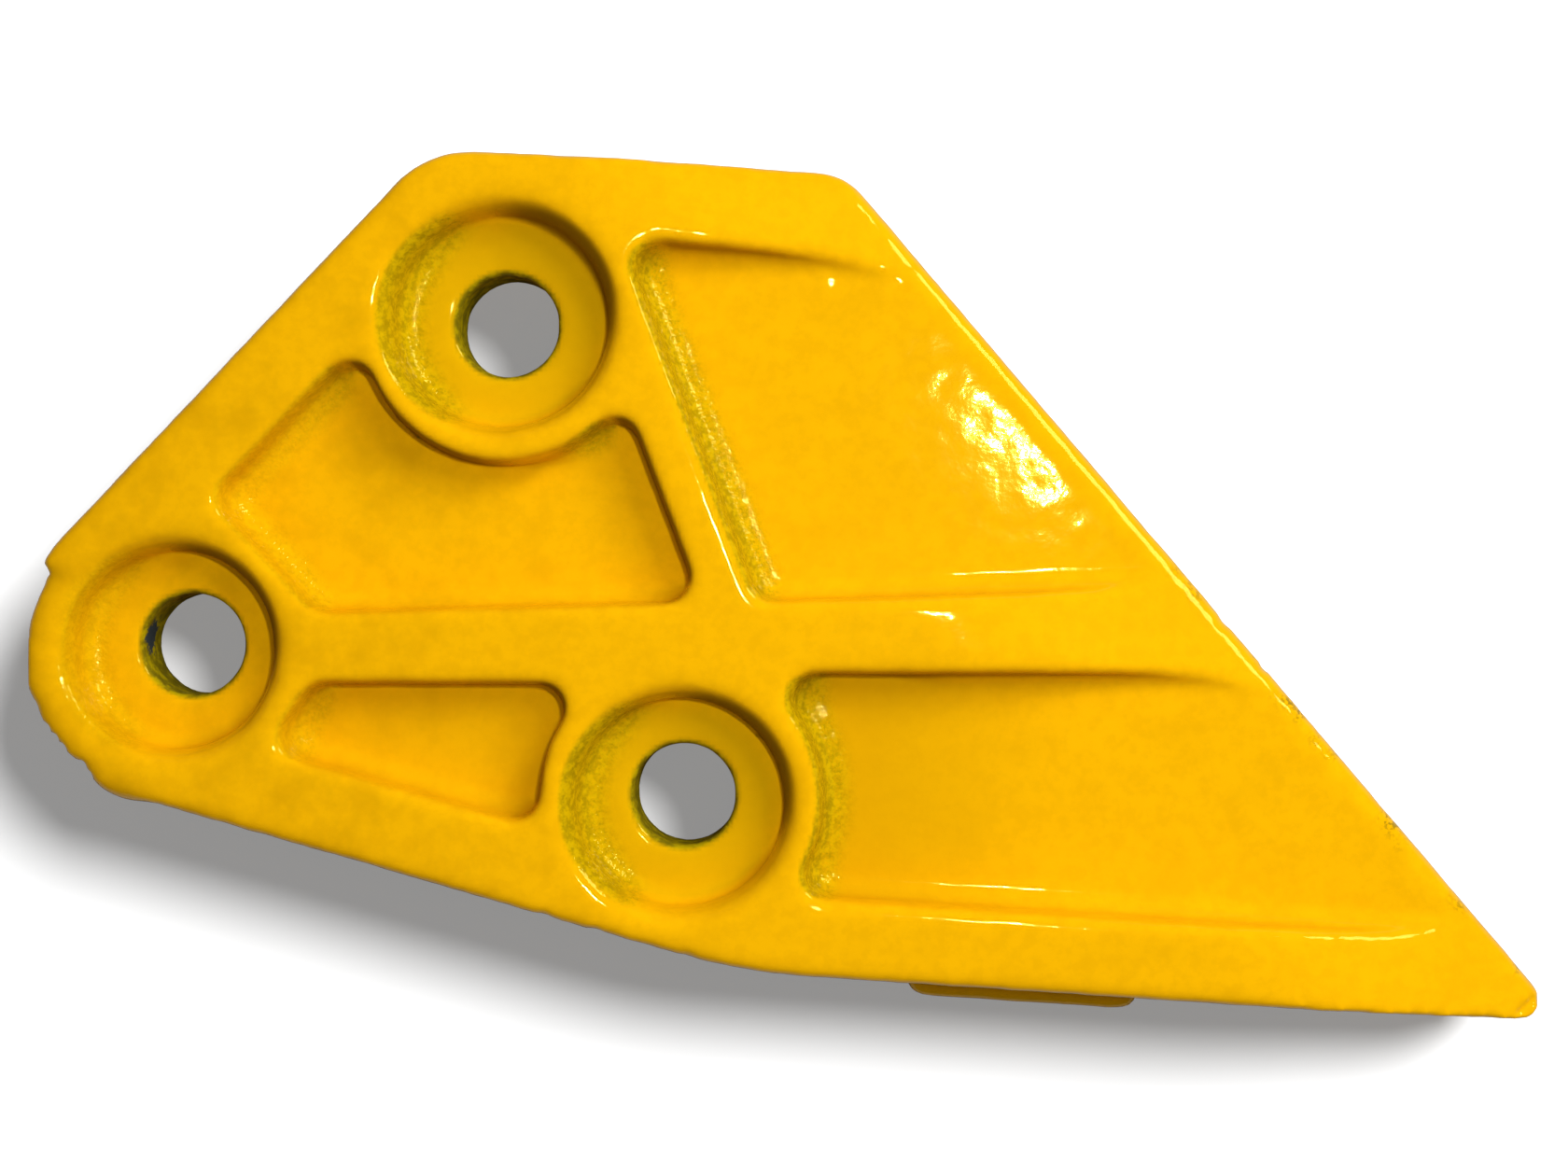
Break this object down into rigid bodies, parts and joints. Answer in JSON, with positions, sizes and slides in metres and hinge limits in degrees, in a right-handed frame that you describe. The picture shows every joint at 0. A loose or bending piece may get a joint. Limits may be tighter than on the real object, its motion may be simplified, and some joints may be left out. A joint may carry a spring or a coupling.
{
  "type": "bucket side cutter",
  "caption": "Cast steel side cutter for an excavator bucket, with bolt holes, reinforcing ribs and a sloping blade, painted yellow.",
  "frame": {"origin": "on the axis of the rear bolt hole, in the plane of the flat mounting face", "axes": "+X along the middle rib towards the blade, +Y towards the upper bolt hole, +Z out of the ribbed face"},
  "size_m": [0.3892, 0.2242, 0.048],
  "materials": {
    "yellow_paint": "gloss"
  },
  "bodies": {
    "root": {"side_cutter": "yellow_paint"}
  },
  "joints": []
}
